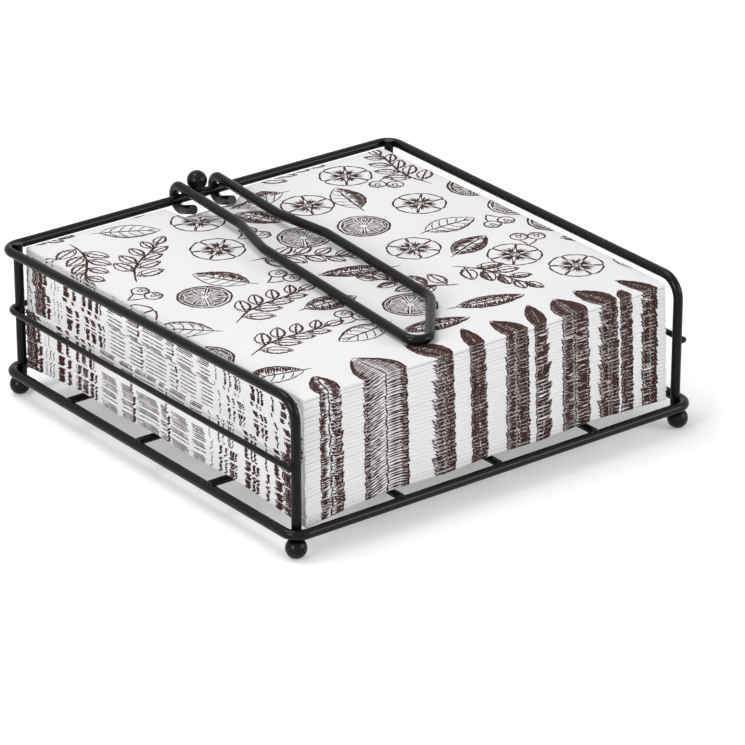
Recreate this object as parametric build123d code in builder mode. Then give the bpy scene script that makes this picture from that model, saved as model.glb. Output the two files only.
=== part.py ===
from build123d import *
from math import asin, atan2, ceil, cos, degrees, radians, sin, tan
import os

# Wire napkin holder for folded paper napkins, millimetres, +Z up, front is -Y
# A square welded wire cradle on ball feet, with a loose wire arm that lies on the stack

os.makedirs("parts", exist_ok=True)

# Wire sizes, as radii
ring_wire = 1.9
rail_wire = 1.8
mid_wire = 1.15
floor_wire = 1.45
arm_wire = 1.85
ball_radius = 3.95

# Napkins, folded in four
napkin_width = 165.0
napkin_depth = 172.15
napkin_thick = 1.435
napkin_count = 30
leaf_gap = 0.14
leaf_groove = 0.6

# Room left round the stack
side_room = 2.8
front_room = 1.9
rear_room = 0.45
rest_gap = 0.3
tip_gap = 0.33

# Dent that the arm's hooks press into the rear of the soft stack
dent_side = 1.6
dent_under = 0.5
dent_front = 1.15

# Frame, from the posts' axes to the wires outside them
corner_out = 4.1
corner_bend = 5.8
mid_rise = 24.75
rail_above_stack = 0.915
rail_bend = 8.0
post_above_rail = 2.2

# Thin rail round the posts
mid_front_out = 2.9
mid_rear_out = 3.5
mid_bend = 5.0
mid_overrun = 0.7

# Floor grid
floor_pitch = 44.5
floor_shift = 3.75
floor_lift = 1.95
floor_end = 0.3
joggle_in = 13.2
joggle_run = 7.0
joggle_bend = 6.0

# Balls
foot_out = 0.8
foot_seat = 0.7
ring_clear = 0.1
stop_ball_x = -2.6
stop_ball_seat = 0.15

# Arm, drawn in its own plane with the rail's axis as origin
arm_middle_x = -1.4
arm_yaw = -3.75
hook_radius = 4.6
hook_past = 20.0
hook_tail = 8.5
leg_rear_x = 8.7
leg_front_x = 13.8
jog_start = 43.0
jog_end = 66.8
jog_bend = 14.0
tip_reach = 164.5
bar_rise = 38.8
bar_bend = 12.0
tip_bend = 4.75

# Heights worked out from the sizes above, from the balls up
post_foot = 2 * ball_radius - foot_seat
ring_height = 2 * ball_radius + ring_clear + ring_wire
floor_height = ring_height + floor_lift
cross_height = floor_height - 2 * floor_wire
stack_base = floor_height + floor_wire + rest_gap
stack_top = stack_base + napkin_count * napkin_thick
rail_height = stack_top + napkin_thick + rail_above_stack
mid_height = ring_height + mid_rise
rear_post_top = rail_height + post_above_rail

# The hooks' reach in front of the rail and behind it, and the depth of the bay
past = radians(hook_past)
hook_skew = leg_rear_x * sin(radians(-arm_yaw))
tail_reach = (hook_radius + arm_wire) * sin(past) + hook_tail * cos(past) + hook_skew
hook_back = (hook_radius + arm_wire) * cos(radians(arm_yaw)) + hook_skew
bay_depth = front_room + napkin_depth + rear_room + rail_wire
whole_depth = hook_back + bay_depth + corner_out + ring_wire

# Places in plan, with the origin under the middle of the whole object
post_x = napkin_width / 2 + side_room + rail_wire
side_x = post_x + corner_out
rear_y = whole_depth / 2 - hook_back
rear_post_y = rear_y - corner_out
front_post_y = rear_y - bay_depth
front_y = front_post_y - corner_out
mid_front_x = post_x + mid_front_out
mid_side_x = post_x + mid_rear_out
mid_rear_y = rear_post_y + mid_rear_out
joggle_outer = side_x - joggle_in
joggle_inner = joggle_outer - joggle_run
floor_middle_y = (front_post_y + rear_post_y) / 2 + floor_shift
floor_x = [-floor_pitch, 0, floor_pitch]
floor_y = [floor_middle_y + step * floor_pitch for step in (-1, 0, 1)]
post_places = [(x, y) for y in (front_post_y, rear_post_y) for x in (-post_x, post_x)]
napkin_middle_y = front_post_y + front_room + napkin_depth / 2

# The arm's slope, from its hooks on the rail down to its tip on the stack
arm_drop = rail_height + hook_radius - arm_wire - stack_top - napkin_thick - tip_gap
arm_tilt = degrees(asin(arm_drop / tip_reach))
turn_half = atan2(2 * leg_front_x, bar_rise) / 2
bar_left = tip_reach + tip_bend / tan(turn_half) - tip_bend
bar_right = bar_left - bar_rise

# Base ring, one heavy wire bent into a rounded square round the four posts
with BuildPart() as base_ring:
    with BuildLine() as ring_path:
        FilletPolyline(
            (-side_x, front_y, ring_height),
            (side_x, front_y, ring_height),
            (side_x, rear_y, ring_height),
            (-side_x, rear_y, ring_height),
            radius=corner_bend,
            close=True,
        )
    with BuildSketch(Plane(origin=ring_path.wire() @ 0, z_dir=ring_path.wire() % 0)):
        Circle(ring_wire)
    sweep(path=ring_path.wire())
base_ring.part.label = "base_ring"

# Top rail, one wire that runs round three sides and turns down into the front posts
with BuildPart() as top_rail:
    with BuildLine() as rail_path:
        FilletPolyline(
            (-post_x, front_post_y, post_foot),
            (-post_x, front_post_y, rail_height),
            (-side_x, rear_y, rail_height),
            (side_x, rear_y, rail_height),
            (post_x, front_post_y, rail_height),
            (post_x, front_post_y, post_foot),
            radius=(rail_bend, corner_bend, corner_bend, rail_bend),
        )
    with BuildSketch(Plane(origin=rail_path.wire() @ 0, z_dir=rail_path.wire() % 0)):
        Circle(rail_wire)
    sweep(path=rail_path.wire())
    add(base_ring.part, mode=Mode.SUBTRACT)
top_rail.part.label = "top_rail"

# Rear posts, cut lengths nested inside the corners of the ring and the rail
rear_posts = []
for side, name in ((-1, "rear_left_post"), (1, "rear_right_post")):
    with BuildPart() as rear_post:
        with BuildSketch(Plane((side * post_x, rear_post_y, post_foot))):
            Circle(rail_wire)
        extrude(amount=rear_post_top - post_foot)
        chamfer(rear_post.edges().group_by(Axis.Z)[-1], 0.3)
        add(base_ring.part, mode=Mode.SUBTRACT)
        add(top_rail.part, mode=Mode.SUBTRACT)
    rear_post.part.label = name
    rear_posts.append(rear_post.part)

# Mid rail, a thinner wire outside the posts on three sides
with BuildPart() as mid_rail:
    with BuildLine() as mid_path:
        FilletPolyline(
            (-mid_front_x, front_post_y - mid_overrun, mid_height),
            (-mid_side_x, mid_rear_y, mid_height),
            (mid_side_x, mid_rear_y, mid_height),
            (mid_front_x, front_post_y - mid_overrun, mid_height),
            radius=mid_bend,
        )
    with BuildSketch(Plane(origin=mid_path.wire() @ 0, z_dir=mid_path.wire() % 0)):
        Circle(mid_wire)
    sweep(path=mid_path.wire())
    add([top_rail.part] + rear_posts, mode=Mode.SUBTRACT)
mid_rail.part.label = "mid_rail"

# Long floor wires, front to back, with their ends pressed onto the ring
long_wires = []
for place, name in zip(floor_x, ("left", "middle", "right")):
    with BuildPart() as long_wire:
        with BuildSketch(Plane((place, front_y - floor_end, floor_height), z_dir=(0, 1, 0))):
            Circle(floor_wire)
        extrude(amount=rear_y - front_y + 2 * floor_end)
        add(base_ring.part, mode=Mode.SUBTRACT)
    long_wire.part.label = "floor_wire_" + name
    long_wires.append(long_wire.part)

# Cross wires, side to side, which dip under the long ones and rise again to the ring
cross_wires = []
for place, name in zip(floor_y, ("front", "centre", "rear")):
    with BuildPart() as cross_wire:
        with BuildLine() as cross_path:
            FilletPolyline(
                (-side_x - floor_end, place, floor_height),
                (-joggle_outer, place, floor_height),
                (-joggle_inner, place, cross_height),
                (joggle_inner, place, cross_height),
                (joggle_outer, place, floor_height),
                (side_x + floor_end, place, floor_height),
                radius=joggle_bend,
            )
        with BuildSketch(Plane(origin=cross_path.wire() @ 0, z_dir=cross_path.wire() % 0)):
            Circle(floor_wire)
        sweep(path=cross_path.wire())
        add([base_ring.part] + long_wires, mode=Mode.SUBTRACT)
    cross_wire.part.label = "cross_wire_" + name
    cross_wires.append(cross_wire.part)

# Ball feet, one under each post, with a shallow seat for the post's end
feet = []
for (x, y), name in zip(post_places, ("front_left", "front_right", "rear_left", "rear_right")):
    out_x = foot_out if x > 0 else -foot_out
    out_y = foot_out if y > 0 else -foot_out
    with BuildPart() as foot:
        with Locations((x + out_x, y + out_y, ball_radius)):
            Sphere(ball_radius)
        add([base_ring.part, top_rail.part] + rear_posts, mode=Mode.SUBTRACT)
    foot.part.label = "foot_" + name
    feet.append(foot.part)

# Stop ball on the rear rail, which keeps the arm's two hooks from sliding along it
with BuildPart() as stop_ball:
    with Locations((stop_ball_x, rear_y, rail_height + rail_wire + ball_radius - stop_ball_seat)):
        Sphere(ball_radius)
    add(top_rail.part, mode=Mode.SUBTRACT)
stop_ball.part.label = "stop_ball"

# Arm, one wire: hook, leg, jog, slanted end bar, and back to a second hook
arm_across = (cos(radians(arm_yaw)), sin(radians(arm_yaw)), 0)
arm_up = (
    sin(radians(arm_tilt)) * sin(radians(arm_yaw)),
    -sin(radians(arm_tilt)) * cos(radians(arm_yaw)),
    cos(radians(arm_tilt)),
)
arm_plane = Plane(origin=(arm_middle_x, rear_y, rail_height), x_dir=arm_across, z_dir=arm_up)
hook_end_y = -hook_radius * sin(past)
hook_end_z = -hook_radius * cos(past)
tail_y = hook_end_y - hook_tail * cos(past)
tail_z = hook_end_z + hook_tail * sin(past)
with BuildPart() as weight_arm:
    with BuildLine(arm_plane) as arm_path:
        Line((-leg_rear_x, tail_y, tail_z), (-leg_rear_x, hook_end_y, hook_end_z))
        ThreePointArc(
            (-leg_rear_x, hook_end_y, hook_end_z),
            (-leg_rear_x, hook_radius, 0),
            (-leg_rear_x, 0, hook_radius),
        )
        FilletPolyline(
            (-leg_rear_x, 0, hook_radius),
            (-leg_rear_x, -jog_start, hook_radius),
            (-leg_front_x, -jog_end, hook_radius),
            (-leg_front_x, -bar_left, hook_radius),
            (leg_front_x, -bar_right, hook_radius),
            (leg_front_x, -jog_end, hook_radius),
            (leg_rear_x, -jog_start, hook_radius),
            (leg_rear_x, 0, hook_radius),
            radius=(jog_bend, jog_bend, tip_bend, bar_bend, jog_bend, jog_bend),
        )
        ThreePointArc(
            (leg_rear_x, 0, hook_radius),
            (leg_rear_x, hook_radius, 0),
            (leg_rear_x, hook_end_y, hook_end_z),
        )
        Line((leg_rear_x, hook_end_y, hook_end_z), (leg_rear_x, tail_y, tail_z))
    with BuildSketch(Plane(origin=arm_path.wire() @ 0, z_dir=arm_path.wire() % 0)):
        Circle(arm_wire)
    sweep(path=arm_path.wire())
weight_arm.part.label = "weight_arm"

# One folded napkin: a full fold in front, and two leaves with a groove between them on the other sides
fold = napkin_thick / 2
nose_y = fold - napkin_depth / 2
tail_end_y = napkin_depth / 2
with BuildPart() as napkin:
    with BuildSketch(Plane.YZ):
        with BuildLine():
            ThreePointArc((nose_y, napkin_thick), (nose_y - fold, fold), (nose_y, 0))
            Polyline((nose_y, 0), (tail_end_y, 0), (tail_end_y, napkin_thick), (nose_y, napkin_thick))
        make_face()
    extrude(amount=napkin_width / 2, both=True)
    with BuildSketch(Plane.XY.offset(fold - leaf_gap / 2)):
        Rectangle(napkin_width, napkin_depth)
        with Locations((0, -leaf_groove / 2)):
            Rectangle(napkin_width - 2 * leaf_groove, napkin_depth - leaf_groove, mode=Mode.SUBTRACT)
    extrude(amount=leaf_gap, mode=Mode.SUBTRACT)

# The dent under the hooks' tails, open at the rear, through as many napkins as the hooks reach down
dent_depth = stack_top - rail_height + hook_radius + arm_wire + dent_under
dented_count = ceil(dent_depth / napkin_thick)
dent_floor = stack_top - dented_count * napkin_thick
dent_front_y = rear_y - tail_reach - dent_front
with BuildPart() as tail_dent:
    with Locations((arm_middle_x, dent_front_y, dent_floor)):
        Box(
            2 * (leg_rear_x + arm_wire + dent_side),
            rear_y - dent_front_y,
            rail_height - dent_floor,
            align=(Align.CENTER, Align.MIN, Align.MIN),
        )

# Napkin stack, the folded napkins lying face to face, up to the ones that are dented
layer_heights = [stack_base + layer * napkin_thick for layer in range(napkin_count)]
with BuildPart() as napkin_stack:
    with Locations([(0, napkin_middle_y, height) for height in layer_heights[:-dented_count]]):
        add(napkin.part)
napkin_stack.part.label = "napkin_stack"

# Upper napkins of the stack, dented at the rear
with BuildPart() as upper_napkins:
    with Locations([(0, napkin_middle_y, height) for height in layer_heights[-dented_count:]]):
        add(napkin.part)
    add(tail_dent.part, mode=Mode.SUBTRACT)
upper_napkins.part.label = "upper_napkins"

# Top napkin, the one that is pulled out next
with BuildPart() as top_napkin:
    with Locations((0, napkin_middle_y, stack_top)):
        add(napkin.part)
    add(tail_dent.part, mode=Mode.SUBTRACT)
top_napkin.part.label = "top_napkin"

single_parts = [base_ring.part, top_rail.part, mid_rail.part, stop_ball.part]
single_parts += [weight_arm.part, napkin_stack.part, upper_napkins.part, top_napkin.part]
for piece in single_parts + rear_posts + long_wires + cross_wires + feet:
    export_step(piece, "parts/" + piece.label + ".step")

print("stack top", round(stack_top + napkin_thick, 2), "stack base", round(stack_base, 2))
whole = Compound(children=single_parts + rear_posts + long_wires + cross_wires + feet)
print("bounds", whole.bounding_box())
print("arm", weight_arm.part.bounding_box())
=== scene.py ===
import math
import random
from functools import partial

import bmesh
import bpy
import numpy as np
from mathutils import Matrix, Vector, noise


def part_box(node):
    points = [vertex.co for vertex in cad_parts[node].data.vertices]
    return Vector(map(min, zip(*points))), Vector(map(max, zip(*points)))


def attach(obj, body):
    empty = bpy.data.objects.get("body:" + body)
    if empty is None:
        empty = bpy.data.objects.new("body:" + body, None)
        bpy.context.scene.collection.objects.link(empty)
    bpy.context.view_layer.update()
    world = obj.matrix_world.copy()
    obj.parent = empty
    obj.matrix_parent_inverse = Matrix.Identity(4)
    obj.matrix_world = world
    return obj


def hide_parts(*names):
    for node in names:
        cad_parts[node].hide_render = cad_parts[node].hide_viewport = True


print("loading the frame")
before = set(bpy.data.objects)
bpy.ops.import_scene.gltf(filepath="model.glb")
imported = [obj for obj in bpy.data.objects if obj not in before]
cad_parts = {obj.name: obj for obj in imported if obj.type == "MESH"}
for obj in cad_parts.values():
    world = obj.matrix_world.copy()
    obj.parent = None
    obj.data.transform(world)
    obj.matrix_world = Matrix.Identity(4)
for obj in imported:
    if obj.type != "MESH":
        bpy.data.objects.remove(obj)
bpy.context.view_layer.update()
mm = 0.001
mathNode, vectorMath, noiseNode = "ShaderNodeMath", "ShaderNodeVectorMath", "ShaderNodeTexNoise"


def linearColour(hexText):
    channels = [int(hexText[i : i + 2], 16) / 255 for i in (1, 3, 5)]
    straight = [c / 12.92 if c <= 0.04045 else ((c + 0.055) / 1.055) ** 2.4 for c in channels]
    return (*straight, 1.0)


def setInputs(tree, node, inputs):
    # an input is a plain value, or the node or socket that it comes from
    for key, value in inputs.items():
        if isinstance(value, bpy.types.Node):
            value = value.outputs[0]
        if isinstance(value, bpy.types.NodeSocket):
            tree.links.new(value, node.inputs[key])
        else:
            node.inputs[key].default_value = value


def addNode(tree, kind, *inputs, **settings):
    # the inputs stand in the node's own order, or in one dictionary
    node = tree.nodes.new(kind)
    for name, value in settings.items():
        setattr(node, name, value)
    named = inputs and isinstance(inputs[0], dict)
    setInputs(tree, node, inputs[0] if named else dict(enumerate(inputs)))
    return node


def newMaterial(name, *patterns):
    # each pattern is a noise, given by the width of one blotch in millimetres and its detail
    material = bpy.data.materials.new(name)
    material.use_nodes = True
    add = partial(addNode, material.node_tree)
    place = add("ShaderNodeTexCoord").outputs["Object"]
    inputs = [{"Vector": place, "Scale": 1000 / width, "Detail": detail} for width, detail in patterns]
    return material, add, *(add(noiseNode, noiseInputs) for noiseInputs in inputs)


def finishMaterial(material, inputs):
    setInputs(material.node_tree, material.node_tree.nodes["Principled BSDF"], inputs)
    return material


coat = {
    "dark": "#060607",
    "light": "#0c0c0d",
    "peel": 0.9,  # one dimple of the orange peel
    "peelDepth": 0.022,
    "peelStrength": 0.6,
    "cloud": 14.0,
    "roughLow": 0.20,
    "roughHigh": 0.29,
    "gloss": 0.17,
}


def powderCoat():
    # polyester powder baked on steel wire: satin black, with soft lights and a faint orange peel
    patterns = ((coat["peel"], 3.0), (coat["cloud"], 2.0))
    material, add, peel, cloud = newMaterial("satinPowderCoat", *patterns)
    shades = {0: cloud, 6: linearColour(coat["dark"]), 7: linearColour(coat["light"])}
    dimples = {"Strength": coat["peelStrength"], "Distance": coat["peelDepth"] * mm, "Height": peel}
    return finishMaterial(material, {
        "Base Color": add("ShaderNodeMix", shades, data_type="RGBA").outputs[2],
        "Roughness": add("ShaderNodeMapRange", cloud, 0.3, 0.7, coat["roughLow"], coat["roughHigh"]),
        "Normal": add("ShaderNodeBump", dimples),
        "IOR": 1.5,
        "Specular IOR Level": coat["gloss"],
    })


tissue = {
    "white": "#f2f1f2",
    "shade": "#e9e8ea",
    "cloud": 24.0,
    "fibre": 0.8,  # drawn coarser than real fibres, so that they show
    "fibreDepth": 0.03,
    "fibreStrength": 0.5,
}


def tissuePaper():
    # soft three-ply tissue: matte, slightly cool white, with a faint fibre relief
    patterns = ((tissue["cloud"], 2.0), (tissue["fibre"], 4.0))
    material, add, cloud, fibre = newMaterial("napkinTissue", *patterns)
    shades = {0: cloud, 6: linearColour(tissue["white"]), 7: linearColour(tissue["shade"])}
    relief = {"Strength": tissue["fibreStrength"], "Distance": tissue["fibreDepth"] * mm, "Height": fibre}
    return finishMaterial(material, {
        "Base Color": add("ShaderNodeMix", shades, data_type="RGBA").outputs[2],
        "Normal": add("ShaderNodeBump", relief),
        "Roughness": 0.93,
        "Specular IOR Level": 0.2,
    })


ink = {
    "dark": "#260f0b",
    "warm": "#452420",
    "bare": "#dac8c3",  # tissue that shows through where the ink is thin
    "patch": 3.0,
    "speck": 0.45,
    "bareShare": 0.4,
}


def flexoInk():
    # water-based brown printed on tissue: matte, thin between the fibres, so its lines are broken
    patterns = ((ink["patch"], 2.0), (ink["speck"], 3.0))
    material, add, patch, speck = newMaterial("brownPrintInk", *patterns)
    browns = {0: patch, 6: linearColour(ink["dark"]), 7: linearColour(ink["warm"])}
    brown = add("ShaderNodeMix", browns, data_type="RGBA").outputs[2]
    thin = add("ShaderNodeMapRange", speck, 0.60, 0.72, 0.0, ink["bareShare"])
    broken = {0: thin, 6: brown, 7: linearColour(ink["bare"])}
    return finishMaterial(material, {
        "Base Color": add("ShaderNodeMix", broken, data_type="RGBA").outputs[2],
        "Roughness": 0.85,
        "Specular IOR Level": 0.25,
    })


print("mixing the finishes")
coatMaterial, tissueMaterial, inkMaterial = powderCoat(), tissuePaper(), flexoInk()

for name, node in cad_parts.items():
    if name not in ("napkin_stack", "upper_napkins", "top_napkin"):
        node.data.materials.clear()
        node.data.materials.append(coatMaterial)


def addObject(name, data):
    made = bpy.data.objects.new(name, data)
    bpy.context.scene.collection.objects.link(made)
    return made


def meshPiece(name, vertices, faces, material):
    # vertices are in millimetres
    mesh = bpy.data.meshes.new(name)
    mesh.from_pydata((np.asarray(vertices, float) * mm).tolist(), [], faces)
    mesh.materials.append(material)
    mesh.shade_smooth()
    mesh.set_sharp_from_angle(angle=math.radians(50))
    return addObject(name, mesh)


inputKinds = {"layers": "Int", "seed": "Int", "middle": "Vector", "material": "Material"}  # others are floats
notLengths = ("grow", "turn", "twist", "sagBetween", "flattest", "seed")


def inMetres(sizes):
    return {name: size if name in notLengths else size * mm for name, size in sizes.items()}


def makeTree(name, inputs):
    tree = bpy.data.node_groups.new(name, "GeometryNodeTree")
    sockets = [("Geometry", "INPUT", "Geometry"), ("Geometry", "OUTPUT", "Geometry")]
    sockets += [(label, "INPUT", inputKinds.get(label, "Float")) for label in inputs]
    for label, way, kind in sockets:
        tree.interface.new_socket(name=label, in_out=way, socket_type="NodeSocket" + kind)
    add = partial(addNode, tree)
    return tree, add, add("NodeGroupInput").outputs


def bakeTree(piece, tree, values):
    modifier = piece.modifiers.new(tree.name, "NODES")
    modifier.node_group = tree
    for item in tree.interface.items_tree:
        if item.in_out == "INPUT" and item.name in values:
            modifier[item.identifier] = values[item.name]
    bpy.context.view_layer.update()
    evaluated = piece.evaluated_get(bpy.context.evaluated_depsgraph_get())
    baked = bpy.data.meshes.new_from_object(evaluated)
    piece.modifiers.clear()
    plain, piece.data = piece.data, baked
    bpy.data.meshes.remove(plain)
    baked.name = piece.name


stackLow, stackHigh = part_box("napkin_stack")[0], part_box("upper_napkins")[1]
topLow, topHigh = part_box("top_napkin")

napkin = {
    "left": topLow.x / mm,
    "right": topHigh.x / mm,
    "front": topLow.y / mm,
    "rear": topHigh.y / mm,
    "thick": (topHigh.z - topLow.z) / mm,
    "base": stackLow.z / mm,
    "frontFold": 0.5,  # how far the full fold is rounded in
    "sideFold": 0.24,
    "leafGroove": 0.3,
    "leafStagger": 0.22,
    "foldPower": 3.2,
    "pileCells": 40,
    "pileSeed": 3,
    "rimWidth": 12.0,  # the sagging rim of a napkin in the pile; the rest stays flat
    "rearRim": 27.0,  # wider, because the hooks dent it
    "topCells": 72,
    "fineShare": 0.5,  # share of the cells that lie where the hooks dent the napkins
    "ripple": 0.2,
    "rippleLength": 42.0,
    "edgeDroop": 0.25,
    "droopWidth": 7.0,
    "rightDroop": 4.0,  # the droop is narrower by this much on the right
}
napkin["count"] = round((stackHigh.z - stackLow.z) / mm / napkin["thick"])
sides = ("left", "right", "front", "rear")
leftSide, rightSide, frontSide, rearSide = (napkin[side] for side in sides)
leafCount = 4  # leaves of tissue that end at an open edge
profileSteps = 16
rings = profileSteps + 1  # vertices from the upper face of a napkin round to the lower one
foldX, foldY = leftSide + napkin["sideFold"], frontSide + napkin["frontFold"]


settling = {
    "dentDepth": 5.85,  # the soft pile gives way under the tails of the arm's hooks
    "dentMiddle": -1.6,
    "dentFlat": 12.0,  # half as wide as the two hooks and a little more
    "dentFade": 20.0,
    "dentStart": 59.0,
    "flare": 2.5,  # how far the right side opens out towards the rear
    "sagLeft": 2.5,  # how far the lowest napkin droops past the last floor wires
    "sagRight": 1.2,
    "sagBetween": 0.35,  # share of that droop between two wires
    "wirePitch": 44.5,
    "wireMiddle": 1.2,
    "overhang": 38.0,
    "sagWidth": 8.0,
}


def foldProfile(steps, height, depth, lift):
    # from the upper flat face round to the lower one: how far out, and how high
    angles = [math.pi / 2 - math.pi * k / steps for k in range(steps + 1)]
    power = 2 / napkin["foldPower"]
    out = [depth * (abs(math.cos(a)) ** power - 1) for a in angles]
    high = [lift + height / 2 * (1 + math.copysign(abs(math.sin(a)) ** power, math.sin(a))) for a in angles]
    return list(zip(out, high))


def sideProfiles():
    # the upper and the lower one of the two folds on a napkin's left side
    steps, half = profileSteps // 2, napkin["thick"] / 2
    return [foldProfile(steps, half, napkin["sideFold"], lift) for lift in (half, 0)]


def edgeProfile(kind, rng):
    if kind == "front":
        return foldProfile(profileSteps, napkin["thick"], napkin["frontFold"], 0)
    if kind == "left":
        upper, lower = sideProfiles()
        return upper[:-1] + lower
    points = []
    perLeaf = profileSteps // leafCount
    stagger = [rng.uniform(-napkin["leafStagger"], 0) for leaf in range(leafCount)]
    for k in range(profileSteps + 1):
        inGroove = k % perLeaf == 0
        groove = -napkin["leafGroove"] - napkin["leafStagger"]
        out = groove if inGroove else stagger[k // perLeaf]
        points.append((out, napkin["thick"] * (1 - k / profileSteps)))
    return points


def ripple(x, y, seed):
    n = noise.noise(Vector((x / napkin["rippleLength"], y / napkin["rippleLength"], seed)))
    edge = min(x - leftSide, rightSide - x + napkin["rightDroop"], y - frontSide, rearSide - y)
    droop = max(0.0, 1 - edge / napkin["droopWidth"]) ** 2
    return napkin["ripple"] * n - napkin["edgeDroop"] * droop


def stations(low, high, fineLow, fineHigh, cells):
    # places along one side, closer together over the dent
    coarse = (1 - napkin["fineShare"]) / (high - low - fineHigh + fineLow)
    start = coarse * (fineLow - low)
    marks = [0, start, start + napkin["fineShare"], 1.000001]
    return np.interp(np.linspace(0, 1, cells + 1), marks, [low, fineLow, fineHigh, high])


def napkinEdge(cells, seed, alongX, alongY):
    # the edge all round a napkin, from the front left corner on
    rng = random.Random(seed)
    corners = [(leftSide, frontSide), (rightSide, frontSide), (rightSide, rearSide), (leftSide, rearSide)]
    normals = [(0, -1), (1, 0), (0, 1), (-1, 0)]
    profiles = [edgeProfile(kind, rng) for kind in ("front", "open", "open", "left")]
    vertices, faces = [], []
    for side in range(4):
        for j in range(cells):
            k = j if side < 2 else cells - j
            x = alongX[k] if side % 2 == 0 else corners[side][0]
            y = alongY[k] if side % 2 == 1 else corners[side][1]
            normal, profile = normals[side], profiles[side]
            if j == 0:
                before = normals[side - 1]
                normal = (normal[0] + before[0], normal[1] + before[1])
                profile = [((p[0] + q[0]) / 2, p[1]) for p, q in zip(profile, profiles[side - 1])]
            for out, high in profile:
                vertices.append((x + normal[0] * out, y + normal[1] * out, high))
    around = 4 * cells
    for i in range(around):
        a, b = i * rings, (i + 1) % around * rings
        faces += [(a + k, a + k + 1, b + k + 1, b + k) for k in range(profileSteps)]
    return vertices, faces


def addStiffFaces(vertices, faces, around):
    # upper and lower faces that bend near the edges only
    rim, rearRim = napkin["rimWidth"], napkin["rearRim"]
    width, depth = rightSide - leftSide, rearSide - frontSide
    for level, step in ((0, 1), (profileSteps, -1)):
        first = len(vertices)
        for i in range(around):
            x, y, high = vertices[i * rings + level]
            x = leftSide + rim + (x - leftSide) * (width - 2 * rim) / width
            y = frontSide + rim + (y - frontSide) * (depth - rim - rearRim) / depth
            vertices.append((x, y, high))
        for i in range(around):
            k = (i + 1) % around
            faces.append([i * rings + level, k * rings + level, first + k, first + i][::step])
        faces.append([first + i for i in range(around)][::step])


def edgeStep(i, j, cells):
    # the profile at which a corner of the grid lies on the napkin's edge
    if j == 0:
        return i
    if i == cells:
        return cells + j
    if j == cells:
        return 3 * cells - i
    return 4 * cells - j if i == 0 else None


def addSoftFaces(vertices, faces, cells, alongX, alongY):
    # upper and lower faces that can bend anywhere
    low = Vector((foldX, foldY))
    inset = napkin["leafGroove"] + napkin["leafStagger"]
    high = Vector((rightSide - inset, rearSide - inset))
    for level, height, step in ((0, napkin["thick"], 1), (profileSteps, 0.0, -1)):
        grid = {}
        for j in range(cells + 1):
            for i in range(cells + 1):
                onEdge = edgeStep(i, j, cells)
                if onEdge is None:
                    grid[i, j] = len(vertices)
                    x = low.x + (high.x - low.x) * (alongX[i] - leftSide) / (rightSide - leftSide)
                    y = low.y + (high.y - low.y) * (alongY[j] - frontSide) / (rearSide - frontSide)
                    vertices.append((x, y, height))
                else:
                    grid[i, j] = onEdge * rings + level
        for j in range(cells):
            for i in range(cells):
                face = (grid[i, j], grid[i + 1, j], grid[i + 1, j + 1], grid[i, j + 1])
                faces.append(face[::step])


def napkinBody(cells, seed, bends):
    # one folded napkin with its lower face at z = 0; bends gives it faces that can bend anywhere
    middle, wide = settling["dentMiddle"], settling["dentFade"] + 1
    alongX = stations(leftSide, rightSide, middle - wide, middle + wide, cells)
    alongY = stations(frontSide, rearSide, settling["dentStart"], rearSide, cells)
    vertices, faces = napkinEdge(cells, seed, alongX, alongY)
    if not bends:
        addStiffFaces(vertices, faces, 4 * cells)
        return vertices, faces
    addSoftFaces(vertices, faces, cells, alongX, alongY)
    return [(x, y, z + ripple(x, y, seed) * z / napkin["thick"]) for x, y, z in vertices], faces


# The print: line drawings of leaves, sprigs, fruit slices and blossoms, in strokes on the flat sheet
def stroke(points, width, taper=0.35):
    points = np.asarray(points, float)
    t = np.linspace(0, 1, len(points))
    widths = width * (taper + (1 - taper) * np.sin(math.pi * t) ** 0.5)
    return points, widths


def line(start, end, width, steps=4, bow=0.0):
    start, end = np.asarray(start, float), np.asarray(end, float)
    t = np.linspace(0, 1, steps + 1)[:, None]
    across = np.array([-(end - start)[1], (end - start)[0]])
    return stroke(start + (end - start) * t + across * bow * np.sin(math.pi * t), width)


def leafEdge(t, breadth):
    return breadth / 2 * np.sin(math.pi * t) ** 0.8 * (1.12 - 0.24 * t)


def leafMotif(length, breadth, shade, veins=5):
    # shade 0 is open line work, 1 has one half hatched, 2 has both, 3 is nearly solid, 4 has dark edges
    rng = random.Random(int(length * 10 + breadth * 100 + shade))
    t = np.linspace(0, 1, 19)
    x = (t - 0.5) * length
    edge = leafEdge(t, breadth)
    strokes = [stroke(np.column_stack([x, edge]), 0.46), stroke(np.column_stack([x, -edge]), 0.72)]
    strokes.append(line((-0.64 * length, -0.06 * breadth), (0.44 * length, 0), 0.6, 12, 0.02))
    for k in range(veins if shade < 3 else 0):
        root = 0.16 + 0.62 * k / max(veins - 1, 1)
        reach = min(root + 0.14, 0.97)
        for side in (-1, 1):
            tip = leafEdge(reach, breadth) * 0.9
            end = ((reach - 0.5) * length, side * tip)
            strokes.append(line(((root - 0.5) * length, 0), end, 0.34, 4, side * 0.06))
    pitch = {0: 0.8, 4: 0.48}.get(shade, 0.55)
    count = int(length * 0.86 / pitch)
    for k in range(count):
        at = 0.07 + 0.86 * k / count
        high = leafEdge(at, breadth)
        for side in (-1, 1):
            filled = shade > 1 or (shade == 1 and side < 0)
            if not filled and side > 0:
                continue
            depth = rng.uniform(0.55, 1.0) if filled else rng.uniform(0.15, 0.5)
            width = 0.5 if filled else 0.26
            if shade == 3:
                depth, width = rng.uniform(0.9, 1.0), 0.62 if side < 0 else 0.5
            elif shade == 4 and k % 2:
                depth, width = rng.uniform(0.3, 0.45), 0.66
            elif shade == 4:
                depth, width = rng.uniform(0.9, 1.0), 0.46
            start = ((at - 0.5) * length, side * high)
            strokes.append(line(start, ((at - 0.46) * length, side * high * (1 - depth)), width, 3))
    return strokes


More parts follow.
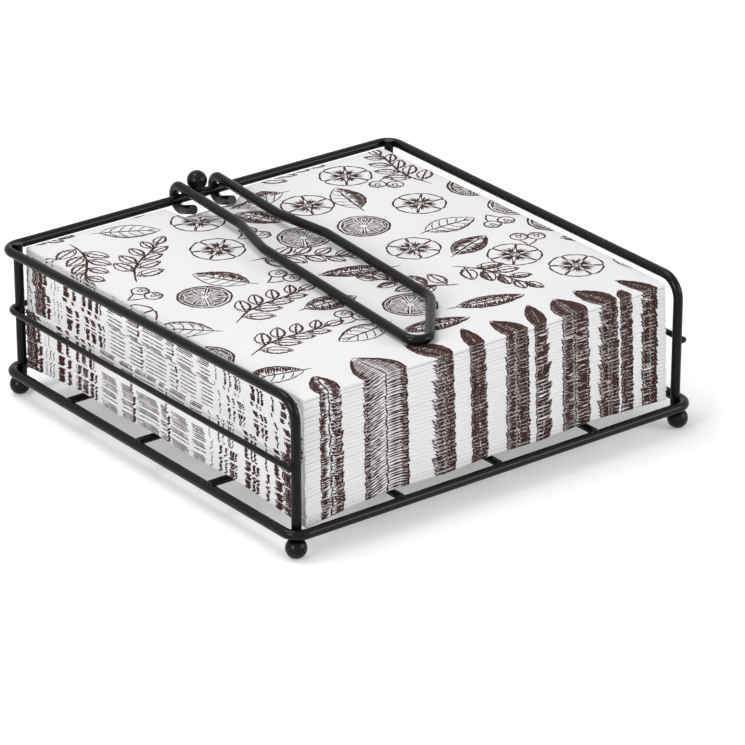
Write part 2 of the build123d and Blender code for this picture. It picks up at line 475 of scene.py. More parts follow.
def moved(strokes, x, y, angle, size=1.0):
    c, s = math.cos(math.radians(angle)) * size, math.sin(math.radians(angle)) * size
    turn = np.array([[c, s], [-s, c]])
    return [(points @ turn + (x, y), widths) for points, widths in strokes]


def sprigMotif(length, leaves, shade):
    t = np.linspace(0, 1, 15)
    stemX = (t - 0.5) * length
    stemY = 0.07 * length * np.sin(1.4 * math.pi * t)
    strokes = [stroke(np.column_stack([stemX, stemY]), 0.7)]
    for k in range(leaves):
        at = 0.14 + 0.8 * k / leaves
        x, y = np.interp(at, t, stemX), np.interp(at, t, stemY)
        size = 1.2 - 0.45 * at
        angle = (52 - 16 * at) * (1 if k % 2 else -1)
        toX, toY = 4.9 * size * math.cos(math.radians(angle)), 4.9 * size * math.sin(math.radians(angle))
        leaf = leafMotif(8.4 * size, 4.2 * size, shade if k % 3 else 0, 2)
        strokes += moved(leaf, x + toX, y + toY, angle)
    return strokes + moved(leafMotif(7.2, 3.6, shade, 2), 0.5 * length + 2.5, stemY[-1], -12)


def ring(radius, width, steps=36, wobble=0.0, start=0.0, sweep=360.0):
    angles = np.radians(start + np.linspace(0, sweep, steps + 1))
    radii = radius * (1 + wobble * np.sin(3 * angles))
    return stroke(np.column_stack([radii * np.cos(angles), radii * np.sin(angles)]), width, 0.7)


def ray(degrees, near, far, width, steps=2):
    along = np.array([math.cos(math.radians(degrees)), math.sin(math.radians(degrees))])
    return line(along * far, along * near, width, steps)


def sliceMotif(radius, segments):
    rng = random.Random(segments)
    strokes = [ring(radius, 0.62, wobble=0.012), ring(radius * 0.86, 0.4, wobble=0.02)]
    for k in range(segments):
        middle = 360 / segments * k
        half = 180 / segments * 0.8
        far = radius * 0.8
        outer = np.radians(np.linspace(middle - half, middle + half, 6))
        rim = np.column_stack([far * np.cos(outer), far * np.sin(outer)])
        root = radius * 0.14 * np.array([math.cos(math.radians(middle)), math.sin(math.radians(middle))])
        strokes.append(stroke(np.vstack([root, rim, root]), 0.44, 0.6))
        for dash in range(5):
            angle = middle + half * (dash - 2) * 0.4
            strokes.append(ray(angle, far * rng.uniform(0.4, 0.75), far * 0.94, 0.34))
    for k in range(52):
        strokes.append(ray(150 + 4 * k, radius * rng.uniform(0.84, 0.92), radius, 0.46, 1))
    return strokes


def blossomMotif(radius, petals):
    rng = random.Random(petals)
    strokes = [ring(radius * 0.2, 0.55, 14), ring(radius * 0.1, 0.5, 10)]
    for k in range(petals):
        turn = math.pi * (np.linspace(0, 1, 13) - 0.5)
        far = radius * (0.2 + 0.8 * np.cos(turn) ** 0.6)
        wide = radius * (0.32 * np.sin(2 * turn) + 0.2 * np.sin(turn))
        parts = [stroke(np.column_stack([far, wide]), 0.55)]
        for dash in range(9):
            angle = 4.5 * (dash - 4)
            parts.append(ray(angle, radius * 0.22, radius * rng.uniform(0.4, 0.72), 0.34))
        strokes += moved(parts, 0, 0, 360 / petals * k)
    return strokes


def berryMotif(radius):
    strokes = []
    for x, y in ((-radius, 0), (radius * 1.05, radius * 0.3)):
        strokes += moved([ring(radius, 0.55, 20), ring(radius * 0.3, 0.4, 8)], x, y, 0)
        shading = [ray(190 + 11 * k, radius * (0.5 + 0.2 * math.sin(k)), radius, 0.42, 1) for k in range(14)]
        strokes += moved(shading, x, y, 0)
        strokes.append(line((x, y + radius), (0, radius * 2.9), 0.55, 4, 0.08))
    return strokes


# Each motif, with the discs it covers: places along it, and radii
motifs = {
    "leaf": (leafMotif(19, 10, 0), [(-5, 5.0), (5, 5.0)]),
    "halfLeaf": (leafMotif(19, 10.5, 1), [(-5, 5.0), (5, 5.0)]),
    "darkLeaf": (leafMotif(18, 9.5, 2, 4), [(-5, 4.8), (5, 4.8)]),
    "longLeaf": (leafMotif(23, 7.5, 2, 6), [(-7, 3.8), (0, 4.0), (7, 3.8)]),
    "sprig": (sprigMotif(31, 8, 0), [(-12, 5.0), (-4, 6.5), (5, 6), (14, 5)]),
    "darkSprig": (sprigMotif(26, 7, 1), [(-10, 5.0), (-3, 6.0), (5, 5.5), (12, 4.5)]),
    "slice": (sliceMotif(8.2, 9), [(0, 8.4)]),
    "blossom": (blossomMotif(8.4, 6), [(0, 8.4)]),
    "berries": (berryMotif(2.7), [(0, 5.2)]),
    "fullLeaf": (leafMotif(20, 10.0, 3), [(-5, 5.0), (5, 5.0)]),
    "fullPod": (leafMotif(22, 6.4, 3), [(-7, 3.3), (0, 3.6), (7, 3.3)]),
    "wideLeaf": (leafMotif(21, 12.5, 3), [(-4, 6.5), (4, 6.5)]),
    "bud": (leafMotif(10, 5.0, 3), [(-2, 2.6), (2, 2.6)]),
    "broadLeaf": (leafMotif(26, 19.0, 4), [(-5, 8.5), (5, 8.5)]),
    "stem": (leafMotif(15, 2.6, 3), [(-5, 1.6), (0, 1.7), (5, 1.6)]),
}
motifWidths = {"stem": 2.6, "bud": 5.0, "fullPod": 6.4, "fullLeaf": 10.0, "wideLeaf": 12.5}
printing = {
    "seed": 11,
    "bold": 1.35,
    "sideBold": 1.2,
    "size": 1.2,  # of the scattered motifs
    "margin": 9.0,
    "gap": 1.3,
    "wobble": 0.1,
    "rounds": [  # what is scattered, and how often each is tried
        (["sprig", "darkSprig", "slice", "blossom"], 240),
        (["leaf", "halfLeaf", "darkLeaf", "longLeaf"], 2600),
        (["berries"], 1200),
    ],
    "frontBelt": 4.6,  # kept clear behind the front fold, but for the motifs chosen for it
    "inkLift": 0.03,
    "foldReach": 8.0,  # how far to each side of a fold the print is drawn for it
    "edgeClear": 0.1,
}
# Motifs that lie over the front fold: kind, place along it, distance behind it, turn
overFront = [
    ("darkLeaf", -70.5, 3.5, 76),
    ("broadLeaf", -47, 3.2, 97),
    ("fullLeaf", -22.5, 5.5, 118),
    ("fullPod", -5, 3.0, 74),
    ("fullLeaf", 12, 2.6, 101),
    ("fullPod", 25.5, 5.5, 66),
    ("wideLeaf", 39.5, 3.4, 83),
    ("fullLeaf", 54, 5.6, 108),
    ("bud", 63.5, 0.8, 72),
    ("fullPod", 73.5, 3.0, 112),
]
# Bands on the left folds, which come from other parts of the print than the top shows. For each way of
# inking: how often the upper and the lower fold of a napkin take it, the part of the fold's height that
# shows it, and the motifs with their places
overSide = {
    "solid": ((1.0, 1.0), (0.0, 0.94), [
        ("fullPod", 78, 2.6, 24),
        ("bud", -81.5, 1.0, 10),
    ]),
    "fine": ((0.97, 0.2), (0.25, 0.64), [
        ("fullLeaf", 27, 4.2, 8),
        ("fullPod", 15, 1.0, -6),
        ("wideLeaf", 2.5, 2.4, -4),
        ("stem", -7.5, 1.0, 6),
        ("fullLeaf", -17, 3.6, 5),
        ("fullPod", -29, 2.0, -8),
    ]),
    "columns": ((0.98, 0.64), (0.03, 0.95), []),
}
columns = {  # narrow bands drawn by chance wherever no other band lies
    "size": (0.25, 0.78),
    "gap": (0.5, 2.2),
    "turn": 32.0,
    "back": (0.4, 4.5),
    "inset": (1.5, 2.0),  # kept clear at the front and the rear end
    "clear": 0.6,  # kept clear beside the other bands
}


def sideColumns():
    rng = random.Random(printing["seed"] + 2)
    taken = [(y, motifWidths[kind] / 2) for _, _, bands in overSide.values() for kind, y, *_ in bands]
    placed, y = [], frontSide + columns["inset"][0]
    while y < rearSide - columns["inset"][1]:
        size = rng.uniform(*columns["size"])
        half = motifWidths["stem"] * size / 2
        y += half + rng.uniform(*columns["gap"])
        if all(abs(y - middle) > half + width + columns["clear"] for middle, width in taken):
            turn = rng.uniform(-1, 1) * columns["turn"]
            placed.append(("stem", foldX + rng.uniform(*columns["back"]), y, turn, size))
        y += half
    return placed


def discsOf(kind, x, y, angle, size):
    c, s = math.cos(math.radians(angle)) * size, math.sin(math.radians(angle)) * size
    return [(x + along * c, y + along * s, radius * size) for along, radius in motifs[kind][1]]


def layOutPrint():
    rng = random.Random(printing["seed"])
    placed = [(kind, x, foldY + back, turn, 1.0) for kind, x, back, turn in overFront]
    discs = [disc for item in placed for disc in discsOf(*item)]
    edge, gap = printing["margin"], printing["gap"]
    clearFrom = foldY + printing["frontBelt"]
    for kinds, tries in printing["rounds"]:
        for attempt in range(tries):
            kind = kinds[attempt % len(kinds)]
            x, y = rng.uniform(leftSide - edge, rightSide + edge), rng.uniform(frontSide, rearSide + edge)
            turn = rng.uniform(0, 360)
            wanted = discsOf(kind, x, y, turn, printing["size"])
            pairs = ((a, b) for a in wanted for b in discs)
            if all(a[1] - a[2] > clearFrom for a in wanted) and all(
                math.hypot(a[0] - b[0], a[1] - b[1]) > a[2] + b[2] + gap for a, b in pairs
            ):
                placed.append((kind, x, y, turn, printing["size"]))
                discs += wanted
    return placed


def flatPrint(placed, bold):
    # all the strokes as thin ribbons on the flat sheet
    rng = random.Random(printing["seed"] + 1)
    vertices, faces = [], []
    for kind, *place in placed:
        for points, widths in moved(motifs[kind][0], *place):
            along = np.gradient(points, axis=0)
            along /= np.maximum(np.linalg.norm(along, axis=1), 1e-6)[:, None]
            across = np.column_stack([-along[:, 1], along[:, 0]])
            phase = rng.uniform(0, 9)
            steps = np.arange(len(points))
            shake = printing["wobble"] * np.sin(steps * 1.7 + phase)
            points = points + across * shake[:, None]
            widths = widths * bold * (1 + 0.25 * np.sin(steps * 2.3 + phase))
            first = len(vertices)
            for p, n, w in zip(points, across, widths):
                vertices += [p + n * w / 2, p - n * w / 2]
            for a in range(first, len(vertices) - 2, 2):
                faces.append((a, a + 1, a + 3, a + 2))
    return np.array(vertices), faces


def cutPrint(vertices, faces, cuts):
    # cuts the flat ribbons along x = value or y = value, and keeps one side of each cut or both
    mesh = bmesh.new()
    made = [mesh.verts.new((v[0], v[1], 0)) for v in vertices]
    for face in faces:
        mesh.faces.new([made[i] for i in face])
    normals = {"x": (1, 0, 0), "y": (0, 1, 0)}
    for axis, value, keep in cuts:
        bmesh.ops.bisect_plane(
            mesh,
            geom=mesh.verts[:] + mesh.edges[:] + mesh.faces[:],
            plane_co=Vector((value, value, 0)),
            plane_no=normals[axis],
            clear_outer=keep == "below",
            clear_inner=keep == "above",
        )
    mesh.verts.index_update()
    result = np.array([v.co[:2] for v in mesh.verts]).reshape(-1, 2)
    polygons = [[v.index for v in f.verts] for f in mesh.faces]
    mesh.free()
    return result, polygons


class FoldPath:
    # the path of a sheet round one fold, by the length along the sheet from the start of the rounding
    def __init__(self, profile):
        points = np.array(profile)
        steps = np.linalg.norm(np.diff(points, axis=0), axis=1)
        self.along = np.concatenate([[0], np.cumsum(steps)])
        slope = np.gradient(points, axis=0)
        slope /= np.linalg.norm(slope, axis=1)[:, None]
        self.points = points + np.column_stack([-slope[:, 1], slope[:, 0]]) * printing["inkLift"]
        self.length = self.along[-1]

    def at(self, s):
        return np.interp(s, self.along, self.points[:, 0]), np.interp(s, self.along, self.points[:, 1])


frontPath = FoldPath(edgeProfile("front", None))
sidePaths = [FoldPath(profile) for profile in sideProfiles()]


def stripOnFold(vertices, faces, axis, foldAt, path, slip, drift, count, span=(0.0, 1.0)):
    # the part of the print that runs round one fold, in count flat steps; slip moves the print across the
    # fold, drift along it
    near, far = (foldAt + slip - path.length * share for share in span)
    cuts = [(axis, near, "below"), (axis, far, "above")]
    cuts += [(axis, near + (far - near) * k / count, "all") for k in range(1, count)]
    flat, polygons = cutPrint(vertices, faces, cuts)
    if len(flat) == 0:
        return flat.reshape(0, 3), []
    column = 0 if axis == "x" else 1
    out, high = path.at(foldAt + slip - flat[:, column])
    place = np.zeros((len(flat), 3))
    place[:, 1 - column] = flat[:, 1 - column] + drift
    place[:, column] = (leftSide if axis == "x" else frontSide) - out
    place[:, 2] = high
    return place, polygons


def keepNear(vertices, faces, xLow, xHigh, yLow, yHigh):
    cuts = [("x", xLow, "above"), ("x", xHigh, "below"), ("y", yLow, "above"), ("y", yHigh, "below")]
    return cutPrint(vertices, faces, cuts)


print("drawing the print")
sheet = flatPrint(layOutPrint(), printing["bold"])
openInset = napkin["leafGroove"] + napkin["leafStagger"] + printing["edgeClear"]
edgeX, edgeY = rightSide - openInset, rearSide - openInset
sideStrip = (foldX - printing["foldReach"], foldX + printing["foldReach"], foldY, edgeY)
frontStrip = (foldX, edgeX, foldY - printing["foldReach"], foldY + printing["foldReach"])
frontZone, sideZone = keepNear(*sheet, *frontStrip), keepNear(*sheet, *sideStrip)
sideBands = []
for kind, (chances, span, bands) in overSide.items():
    placed = [(motif, foldX + back, y, turn, 1.0) for motif, y, back, turn in bands] or sideColumns()
    zone = keepNear(*flatPrint(placed, printing["sideBold"]), *sideStrip)
    sideBands.append((kind, chances, span, zone))


pilePrint = {  # how the print shifts from napkin to napkin, in millimetres
    "cycle": [0.0, 0.4, 0.8, 1.2, 1.7],
    "drift": 1.6,
    "slip": 0.22,
    "sideSlip": 0.6,
    "frontCuts": 6,
    "sideCuts": 5,
    "packSteps": [4.6, 5.8, -0.9, 1.1],  # each pack's print lies a little further along, from the lowest up
}


def joined(pieces):
    vertices, faces = [], []
    for place, polygons in pieces:
        first = sum(len(v) for v in vertices)
        vertices.append(np.asarray(place, float).reshape(-1, 3))
        faces += [[i + first for i in face] for face in polygons]
    return np.vstack(vertices), faces


def printOnTop(seed):
    # the print of a napkin whose whole upper face shows, with its lines carried round both folds
    flat, polygons = keepNear(*sheet, foldX, edgeX, foldY, edgeY)
    lift = np.array([ripple(x, y, seed) for x, y in flat])
    pieces = [(np.column_stack([flat, napkin["thick"] + printing["inkLift"] + lift]), polygons)]
    for fold in ((*frontZone, "y", foldY, frontPath), (*sideZone, "x", foldX, sidePaths[0])):
        place, wrapped = stripOnFold(*fold, 0, 0, pilePrint["frontCuts"])
        height = place[:, 2] / napkin["thick"]
        place[:, 2] += [ripple(x, y, seed) * h for (x, y), h in zip(place[:, :2], height)]
        pieces.append((place, wrapped))
    return joined(pieces)


looseness = {  # how far the napkins of the pile lie out of line
    "leanX": -1.0,  # how far the lowest napkin lies from the highest
    "leanY": -2.2,
    "turn": math.radians(0.6),
    "grow": 0.014,
    "shift": 0.16,
    "twist": math.radians(0.08),
    "wave": 0.26,
    "waveLength": 30.0,
    "fray": 0.10,
    "frayLength": 7.0,
    "seed": 7,
}
pileCount = napkin["count"] - 1


def looseStackTree():
    # pushes each layer of a neat pile a little out of line, by its layer number
    tree, add, given = makeTree("looseStack", [*looseness, "layers", "middle"])
    layer = add("GeometryNodeInputNamedAttribute", {"Name": "layer"}, data_type="INT").outputs["Attribute"]
    share = add(mathNode, layer, given["layers"], operation="DIVIDE")
    fromTop = add(mathNode, 1.0, share, operation="SUBTRACT")
    depth = add(mathNode, fromTop, 0.85, operation="POWER")

    def outOfLine(steady, loose, step):
        # one amount that grows towards the lowest layer, and one by chance
        seed = add(mathNode, given["seed"], step, operation="ADD")
        limits = {2: -1.0, 3: 1.0, "ID": layer, "Seed": seed}
        chance = add("FunctionNodeRandomValue", limits, data_type="FLOAT").outputs[1]
        grown = add(mathNode, depth, given[steady], operation="MULTIPLY")
        return add(mathNode, chance, given[loose], grown, operation="MULTIPLY_ADD")

    place = add("GeometryNodeInputPosition")
    centred = add(vectorMath, place, given["middle"], operation="SUBTRACT")
    wider = add(mathNode, depth, given["grow"], 1.0, operation="MULTIPLY_ADD")
    stretch = add("ShaderNodeCombineXYZ", wider, 1.0, 1.0)
    scaled = add(vectorMath, centred, stretch, operation="MULTIPLY")
    turn = {"Vector": scaled, "Angle": outOfLine("turn", "twist", 1)}
    turned = add("ShaderNodeVectorRotate", turn, rotation_type="Z_AXIS")
    slide = add("ShaderNodeCombineXYZ", outOfLine("leanX", "shift", 2), outOfLine("leanY", "shift", 3))
    back = add(vectorMath, turned, given["middle"], operation="ADD")
    slid = add(vectorMath, back, slide, operation="ADD")

    def drift(height, length, upward, axes):
        # a smooth random shift that changes faster up the pile than along it
        flattened = add(vectorMath, place, (1, 1, upward), operation="MULTIPLY")
        perLength = add(mathNode, 1.0, given[length], operation="DIVIDE")
        noiseInputs = {"Vector": flattened, "Scale": perLength, "Detail": 1.0}
        field = add(noiseNode, noiseInputs, noise_dimensions="3D").outputs["Color"]
        level = add(vectorMath, field, (0.5, 0.5, 0.5), operation="SUBTRACT")
        shift = add(vectorMath, {0: level, "Scale": given[height]}, operation="SCALE")
        return add(vectorMath, shift, axes, operation="MULTIPLY")

    wave = drift("wave", "waveLength", 12.0, (0, 0, 2))
    fray = drift("fray", "frayLength", 9.0, (2, 2, 0))
    offset = add(vectorMath, wave, fray, operation="ADD")
    moves = {"Geometry": given["Geometry"], "Position": slid, "Offset": offset}
    add("NodeGroupOutput", add("GeometryNodeSetPosition", moves))
    return tree


def settledTree():
    # the pile as it rests: dented by the hooks, drooping past the floor wires, opened to the right
    tree, add, given = makeTree("settledPile", [*settling, *sides, "base", "high"])
    left, right, front, rear = (given[side] for side in sides)
    x, y, z = add("ShaderNodeSeparateXYZ", add("GeometryNodeInputPosition")).outputs
    pitch = given["wirePitch"]
    halfPitch = add(mathNode, pitch, 2.0, operation="DIVIDE")

    def sagOver(value, middle):
        # nothing on a wire, a little between two wires, more past the last one
        away = add(mathNode, add(mathNode, value, middle, operation="SUBTRACT"), operation="ABSOLUTE")
        inner = add(mathNode, away, pitch, operation="MINIMUM")
        swing = add(mathNode, inner, halfPitch, operation="PINGPONG")
        between = add(mathNode, swing, halfPitch, operation="DIVIDE")
        inside = add(mathNode, between, given["sagBetween"], operation="MULTIPLY")
        past = add(mathNode, add(mathNode, away, pitch, operation="SUBTRACT"), 0.0, operation="MAXIMUM")
        hanging = add(mathNode, past, given["overhang"], operation="DIVIDE")
        return add(mathNode, inside, add(mathNode, hanging, 1.3, operation="POWER"), operation="ADD")

    def product(*terms):
        result = terms[0]
        for term in terms[1:]:
            result = add(mathNode, result, term, operation="MULTIPLY")
        return result

    aside = add(mathNode, x, given["dentMiddle"], operation="SUBTRACT")
    fade = (add(mathNode, aside, operation="ABSOLUTE"), given["dentFlat"], given["dentFade"], 1.0, 0.0)
    across = add("ShaderNodeMapRange", *fade, interpolation_type="SMOOTHSTEP")
    along = add("ShaderNodeMapRange", y, given["dentStart"], rear)
    height = add("ShaderNodeMapRange", z, given["base"], given["high"])
    dent = product(
        product(across, add(mathNode, along, 1.6, operation="POWER")),
        product(add(mathNode, height, 2.5, operation="POWER"), given["dentDepth"]),
    )
    toRight = add("ShaderNodeMapRange", x, left, right)
    toRear = add("ShaderNodeMapRange", y, front, rear)
    depths = {0: toRight, 2: given["sagLeft"], 3: given["sagRight"]}
    sagDepth = add("ShaderNodeMix", depths, data_type="FLOAT")
    fromTop = add(mathNode, 1.0, height, operation="SUBTRACT")
    ways = [(x, left), (right, x), (y, front), (rear, y)]
    inward = [add(mathNode, far, near, operation="SUBTRACT") for far, near in ways]
    nearX, nearY = (add(mathNode, *pair, operation="MINIMUM") for pair in (inward[:2], inward[2:]))
    fromEdge = add(mathNode, nearX, nearY, operation="MINIMUM")
    rim = add("ShaderNodeMapRange", fromEdge, 0.0, given["sagWidth"], 1.0, 0.0)
    sag = product(
        product(product(sagOver(x, 0.0), sagOver(y, given["wireMiddle"])), sagDepth),
        product(add(mathNode, fromTop, 1.2, operation="POWER"), rim),
    )
    opened = product(toRight, add(mathNode, toRear, 0.6, operation="POWER"), given["flare"])
    down = product(add(mathNode, dent, sag, operation="ADD"), -1.0)
    moves = {"Geometry": given["Geometry"], "Offset": add("ShaderNodeCombineXYZ", {0: opened, 2: down})}
    add("NodeGroupOutput", add("GeometryNodeSetPosition", moves))
    return tree


def pileTree(title, groups, repeated):
    # repeated: one napkin is copied up the pile; otherwise the piece already has all its layers
    names = [item.name for group in groups for item in group.interface.items_tree]
    names = [name for name in names if name != "Geometry"] + ["base", "thick", "layers", "material"]
    tree, add, given = makeTree(title, dict.fromkeys(names))
    geometry = given["Geometry"]
    if repeated:
        foot, rise = (add("ShaderNodeCombineXYZ", {2: given[side]}) for side in ("base", "thick"))
        column = {"Count": given["layers"], "Start Location": foot, "Offset": rise}
        points = add("GeometryNodeMeshLine", column)
        copies = add("GeometryNodeInstanceOnPoints", {"Points": points, "Instance": geometry})
        numbers = {"Name": "layer", "Geometry": copies, "Value": add("GeometryNodeInputIndex")}
        kinds = {"data_type": "INT", "domain": "INSTANCE"}
        numbered = add("GeometryNodeStoreNamedAttribute", numbers, **kinds)
        geometry = add("GeometryNodeRealizeInstances", numbered)
    for group in groups:
        inner = add("GeometryNodeGroup", {"Geometry": geometry}, node_tree=group)
        labels = [socket.name for socket in inner.inputs if socket.name != "Geometry"]
        setInputs(tree, inner, {label: given[label] for label in labels})
        geometry = inner
    solid = add("GeometryNodeRealizeInstances", geometry)
    painted = add("GeometryNodeSetMaterial", {"Geometry": solid, "Material": given["material"]})
    add("NodeGroupOutput", painted)
    return tree


def pileValues(material):
    edges = {name: napkin[name] for name in (*sides, "base", "thick")}
    return {
        **inMetres({**looseness, **settling, **edges}),
        "high": topHigh.z,
        "middle": (0.0, (frontSide + rearSide) / 2 * mm, 0.0),
        "layers": pileCount,
        "material": material,
    }


print("stacking the napkins")
looseStack, settled = looseStackTree(), settledTree()
body = napkinBody(napkin["pileCells"], napkin["pileSeed"], False)
napkinPile = meshPiece("napkinPile", *body, tissueMaterial)
bakeTree(napkinPile, pileTree("napkinPile", [looseStack, settled], True), pileValues(tissueMaterial))


def printOnPile():
    # the front bands, the side bands and the side hatching, with the layer that every vertex belongs to
    rng = random.Random(looseness["seed"])
    cycle, slipSize, sideSlip = pilePrint["cycle"], pilePrint["slip"], pilePrint["sideSlip"]
    pieces, layers = ([], [], []), ([], [], [])
    for layer in range(pileCount):
        depth = 1 - layer / pileCount
        slip = cycle[layer % len(cycle)] + pilePrint["drift"] * depth + rng.uniform(-1, 1) * slipSize
        drift = rng.uniform(-1, 1) * slipSize
        front = stripOnFold(*frontZone, "y", foldY, frontPath, slip, drift, pilePrint["frontCuts"])
        strips = [(0, *front)]
        step = pilePrint["packSteps"][layer * len(pilePrint["packSteps"]) // pileCount]
        away = rng.uniform(-1, 1) * sideSlip
        for kind, chances, span, bands in sideBands:
            for path, chance in zip(sidePaths, chances):
                along = step + rng.uniform(-1, 1) * sideSlip
                if rng.random() < chance:
                    cuts = pilePrint["sideCuts"]
                    place = stripOnFold(*bands, "x", foldX, path, away, along, cuts, span)
                    strips.append((2 if kind == "fine" else 1, *place))
        for part, place, polygons in strips:
            place[:, 2] += napkin["base"] + napkin["thick"] * layer
            pieces[part].append((place, polygons))
            layers[part].extend([layer] * len(place))
    return [(*joined(group), numbers) for group, numbers in zip(pieces, layers)]


print("printing the folds")
printTree = pileTree("pilePrint", [looseStack, settled], False)
foldPrints = []
for name, (vertices, faces, layers) in zip(("frontPrint", "sidePrint", "sideHatching"), printOnPile()):
    printed = meshPiece(name, vertices, faces, inkMaterial)
    printed.data.attributes.new("layer", "INT", "POINT").data.foreach_set("value", layers)
    bakeTree(printed, printTree, pileValues(inkMaterial))
    foldPrints.append(printed)

print("laying the two upper napkins")
wholeNapkins = []
wholeTree = pileTree("wholeNapkin", [settled], False)
for name, seed, base in (
    ("secondNapkin", 5, napkin["base"] + napkin["thick"] * pileCount),
    ("nextNapkin", 9, topLow.z / mm),
):
    vertices, faces = napkinBody(napkin["topCells"], seed, True)
    whole = meshPiece(name, np.array(vertices) + (0, 0, base), faces, tissueMaterial)
    bakeTree(whole, wholeTree, pileValues(tissueMaterial))
    vertices, faces = printOnTop(seed)
    drawn = meshPiece(name + "Print", vertices + (0, 0, base), faces, inkMaterial)
    bakeTree(drawn, wholeTree, pileValues(inkMaterial))
    wholeNapkins.append((whole, drawn))

for piece in (napkinPile, *foldPrints, *wholeNapkins[0]):
    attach(piece, "stack")
for piece in wholeNapkins[1]:
    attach(piece, "next_napkin")
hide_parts("napkin_stack", "upper_napkins")
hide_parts("top_napkin")


weld = {
    "size": 0.95,
    "flattest": 0.55,
    "lump": 0.35,
    "lumpLength": 1.1,
    "seed": 4,
}
weldBeside = {  # how far a bead lies beside the contact it holds
    "floorWire": 1.3,
    "crossing": 0.78,
    "rail": 1.0,
    "midRail": 0.8,
    "ball": 0.9,
}


def boxOf(name):
    return [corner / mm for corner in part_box(name)]


def weldPlaces():
    # read from the frame's own boxes, in millimetres
    ringLow, ringHigh = boxOf("base_ring")
    thick = (ringHigh.z - ringLow.z) / 2
    sideX, frontY, rearY = ringHigh.x - thick, ringLow.y + thick, ringHigh.y - thick
    high = ringLow.z + 1.8 * thick
    floorWires = [boxOf("floor_wire_" + name) for name in ("left", "middle", "right")]
    crossWires = [boxOf("cross_wire_" + name) for name in ("front", "centre", "rear")]
    wiresX = [(low.x + top.x) / 2 for low, top in floorWires]
    wiresY = [(low.y + top.y) / 2 for low, top in crossWires]
    under = floorWires[-1][0].z
    places = []
    for way in (-1, 1):
        step, small = way * weldBeside["floorWire"], way * weldBeside["crossing"]
        places += [(x + step, y, high) for x in wiresX for y in (frontY, rearY)]
        places += [(x, y + step, high) for x in (-sideX, sideX) for y in wiresY]
        places += [(x + small, y + small, under) for x in wiresX for y in wiresY]
    low, top = boxOf("rear_left_post")
    postX, postOut = -(low.x + top.x) / 2, sideX + (low.x + top.x) / 2
    railZ = boxOf("top_rail")[1].z - (top.x - low.x) / 2
    low, top = boxOf("mid_rail")
    midZ = (low.z + top.z) / 2
    inner = 0.71 * postOut  # half way from the ring's corner to the post, where the two touch
    for sideways in (-1, 1):
        for y, outward in ((frontY, 1), (rearY, -1)):
            corner = (sideways * (sideX - inner), y + outward * inner)
            places += [(*corner, ringHigh.z - 0.6 * thick), (*corner, ringLow.z + 0.5 * thick)]
            contactY = y + outward * postOut + (0 if outward > 0 else 1.3)
            contactX = sideways * (postX + (1.9 if outward > 0 else 1.3))
            places += [(contactX, contactY, midZ - way * weldBeside["midRail"]) for way in (-1, 1)]
        inside = (sideways * (sideX - inner), rearY - inner)
        places += [(*inside, railZ + way * weldBeside["rail"]) for way in (-1, 1)]
    low, top = boxOf("stop_ball")
    ballX = (low.x + top.x) / 2
    return places + [(ballX + way * weldBeside["ball"], rearY, low.z + 0.35) for way in (-1, 1)]


def weldTree():
    # small lumpy beads, one on every weld
    tree, add, given = makeTree("weldBeads", [*weld, "material"])
    ball = add("GeometryNodeMeshIcoSphere", {"Radius": given["size"], "Subdivisions": 3})

    def chance(low, high, step):
        seed = add(mathNode, given["seed"], step, operation="ADD")
        return add("FunctionNodeRandomValue", {0: low, 1: high, "Seed": seed}, data_type="FLOAT_VECTOR")

    squash = add("ShaderNodeCombineXYZ", *[given["flattest"]] * 3)
    beads = {"Points": given["Geometry"], "Instance": ball}
    beads["Rotation"] = chance((0, 0, 0), (6.28, 6.28, 6.28), 0)
    beads["Scale"] = chance(squash, (1, 1, 1), 1)
    solid = add("GeometryNodeRealizeInstances", add("GeometryNodeInstanceOnPoints", beads))
    perLength = add(mathNode, 1.0, given["lumpLength"], operation="DIVIDE")
    noiseInputs = {"Vector": add("GeometryNodeInputPosition"), "Scale": perLength, "Detail": 1.0}
    lumps = add(noiseNode, noiseInputs, noise_dimensions="3D")
    level = add(mathNode, lumps, 0.5, operation="SUBTRACT")
    height = add(mathNode, level, given["lump"], operation="MULTIPLY")
    offset = add(vectorMath, {0: add("GeometryNodeInputNormal"), "Scale": height}, operation="SCALE")
    lumpy = add("GeometryNodeSetPosition", {"Geometry": solid, "Offset": offset})
    smooth = add("GeometryNodeSetShadeSmooth", lumpy)
    painted = add("GeometryNodeSetMaterial", {"Geometry": smooth, "Material": given["material"]})
    add("NodeGroupOutput", painted)
    return tree


print("adding the weld beads")
weldBeads = meshPiece("weldBeads", weldPlaces(), [], coatMaterial)
bakeTree(weldBeads, weldTree(), {**inMetres(weld), "material": coatMaterial})
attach(weldBeads, "frame")


shot = {
    "azimuth": -37.66,
    "elevation": 24.225,
    "distance": 1.5536,
    "aim": (0.0, 0.0, 0.035),
    "right": 0.0115,
    "up": -0.0187,
    "sensor": 36.0,
    "focalPixels": 4194.2,
    "imagePixels": 745,
}


def placeCamera():
    a, e = math.radians(shot["azimuth"]), math.radians(shot["elevation"])
    back = Vector((math.sin(a) * math.cos(e), -math.cos(a) * math.cos(e), math.sin(e)))
    across = Vector((math.cos(a), math.sin(a), 0))
    upward = back.cross(across)
    data = bpy.data.cameras.new("camera")
    data.sensor_width = shot["sensor"]
    data.lens = shot["focalPixels"] / shot["imagePixels"] * shot["sensor"]
    camera = addObject("camera", data)
    aim = Vector(shot["aim"])
    camera.location = aim + back * shot["distance"] + across * shot["right"] + upward * shot["up"]
    camera.rotation_euler = (-back).to_track_quat("-Z", "Y").to_euler()
    bpy.context.scene.camera = camera


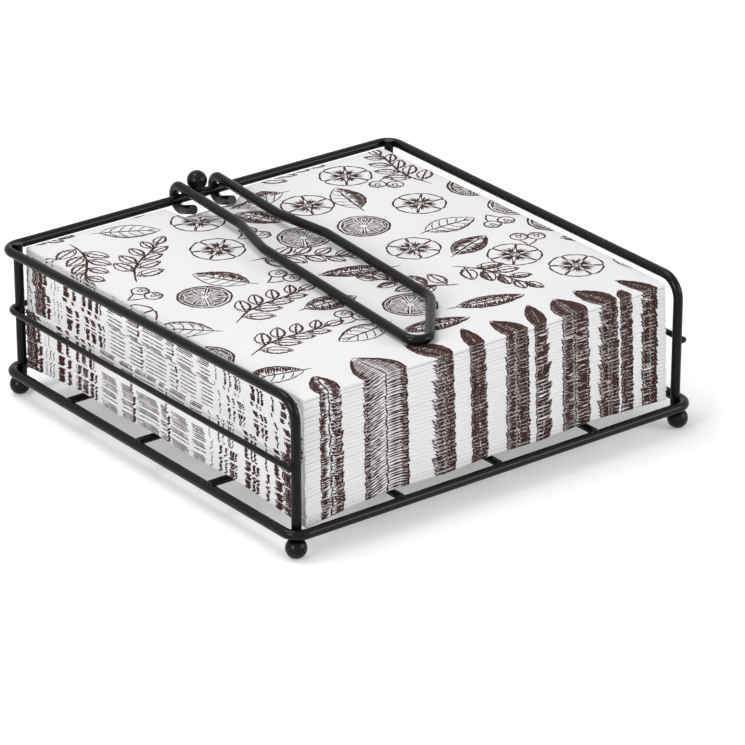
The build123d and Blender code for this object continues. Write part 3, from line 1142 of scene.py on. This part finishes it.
lights = {
    "above": {"place": (-0.35, 0.4, 1.5), "size": 1.0, "power": 11.5},
    "left": {"place": (-1.3, -0.35, 0.6), "size": 0.6, "power": 8.2},
    "front": {"place": (0.9, -1.25, 0.6), "size": 0.9, "power": 8.8},
}
lightAim = (0, 0, 0.03)
room = {"world": 0.37, "floor": "#f6f6f8", "floorGlow": 0.24, "floorHalf": 3.0}


def placeLights():
    for name, lamp in lights.items():
        data = bpy.data.lights.new(name, "AREA")
        data.energy = lamp["power"]
        data.shape = "DISK"
        data.size = lamp["size"]
        light = addObject(name, data)
        light.location = lamp["place"]
        light.rotation_euler = (Vector(lightAim) - light.location).to_track_quat("-Z", "Y").to_euler()


def glowSeen(add, hidden, seen):
    # one strength for what the camera, gloss and glass see directly, another for the light on the object
    path = add("ShaderNodeLightPath").outputs
    either = add(mathNode, path["Is Camera Ray"], path["Is Glossy Ray"], operation="MAXIMUM")
    directly = add(mathNode, either, path["Is Transmission Ray"], operation="MAXIMUM")
    return add("ShaderNodeMapRange", directly, 0, 1, hidden, seen)


def makeWorld():
    world = bpy.data.worlds.new("studio")
    bpy.context.scene.world = world
    world.use_nodes = True
    tree = world.node_tree
    strength = glowSeen(partial(addNode, tree), room["world"], 1.0)
    setInputs(tree, tree.nodes["Background"], {"Color": (1, 1, 1, 1), "Strength": strength})


def makeFloor():
    mesh = bpy.data.meshes.new("floor")
    half = room["floorHalf"]
    corners = [(-half, -half, 0), (half, -half, 0), (half, half, 0), (-half, half, 0)]
    mesh.from_pydata(corners, [], [(0, 1, 2, 3)])
    material, add = newMaterial("paleFloor")
    colour = linearColour(room["floor"])
    finishMaterial(material, {"Base Color": colour, "Roughness": 0.9, "Specular IOR Level": 0.0})
    glow = add("ShaderNodeEmission", {"Strength": glowSeen(add, 0.0, room["floorGlow"])})
    nodes = material.node_tree.nodes
    both = add("ShaderNodeAddShader", nodes["Principled BSDF"], glow)
    setInputs(material.node_tree, nodes["Material Output"], {"Surface": both})
    mesh.materials.append(material)
    addObject("floor", mesh)


print("setting the light and the camera")
placeCamera()
placeLights()
makeWorld()
makeFloor()
bpy.context.scene.view_settings.view_transform = "Standard"

print("done")
